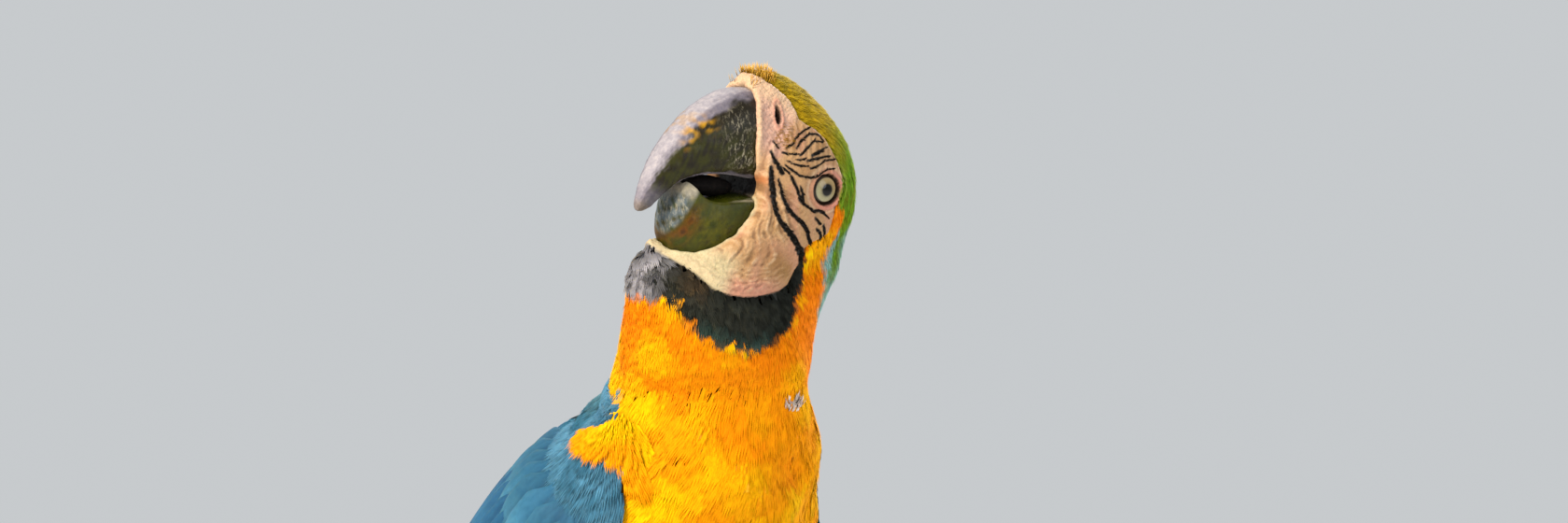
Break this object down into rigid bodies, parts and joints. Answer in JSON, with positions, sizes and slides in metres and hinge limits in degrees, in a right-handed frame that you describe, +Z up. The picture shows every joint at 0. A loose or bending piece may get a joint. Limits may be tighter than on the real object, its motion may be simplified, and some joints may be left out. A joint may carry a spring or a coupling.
{
  "type": "blue-and-yellow macaw",
  "caption": "Life-size perched macaw with a raised hooked bill, folded wings and a long hanging tail, on a cut branch held by a rod and a round base.",
  "frame": {"origin": "centre of the stand's round underside, on the floor", "axes": "+Z up. A view at azimuth 0 looks along +Y, with the breast turned 40 degrees to the right of the viewer and the bill pointing to the viewer's left. The branch runs from -X -Y to +X +Y."},
  "size_m": [0.3383, 0.373, 0.7351],
  "materials": {
    "bare_skin": "bare beige-pink skin with fine black feather lines, and feathered crown",
    "bill_horn": "dark horn, scuffed and half glossy",
    "eye": "pale wet eye with a black pupil",
    "yellow_feather": "soft warm yellow feathers",
    "blue_feather": "smooth blue flight feathers and coverts",
    "toe_skin": "dry grey scaled skin",
    "claw_horn": "black smooth horn",
    "bark": "rough brown bark with pale sawn ends",
    "stand_enamel": "plain satin off-white enamel"
  },
  "bodies": {
    "root": {"head": "bare_skin", "bill_upper": "bill_horn", "bill_lower": "bill_horn", "eye_left": "eye", "eye_right": "eye", "neck": "yellow_feather", "torso": "yellow_feather", "tail": "blue_feather", "wing_left": "blue_feather", "leg_left": "yellow_feather", "foot_left": "toe_skin", "claw_outer_front_left": "claw_horn", "claw_inner_front_left": "claw_horn", "claw_outer_back_left": "claw_horn", "claw_inner_back_left": "claw_horn", "wing_right": "blue_feather", "leg_right": "yellow_feather", "foot_right": "toe_skin", "claw_outer_front_right": "claw_horn", "claw_inner_front_right": "claw_horn", "claw_outer_back_right": "claw_horn", "claw_inner_back_right": "claw_horn", "perch_branch": "bark", "stand_base": "stand_enamel", "stand_rod": "stand_enamel"}
  },
  "joints": []
}
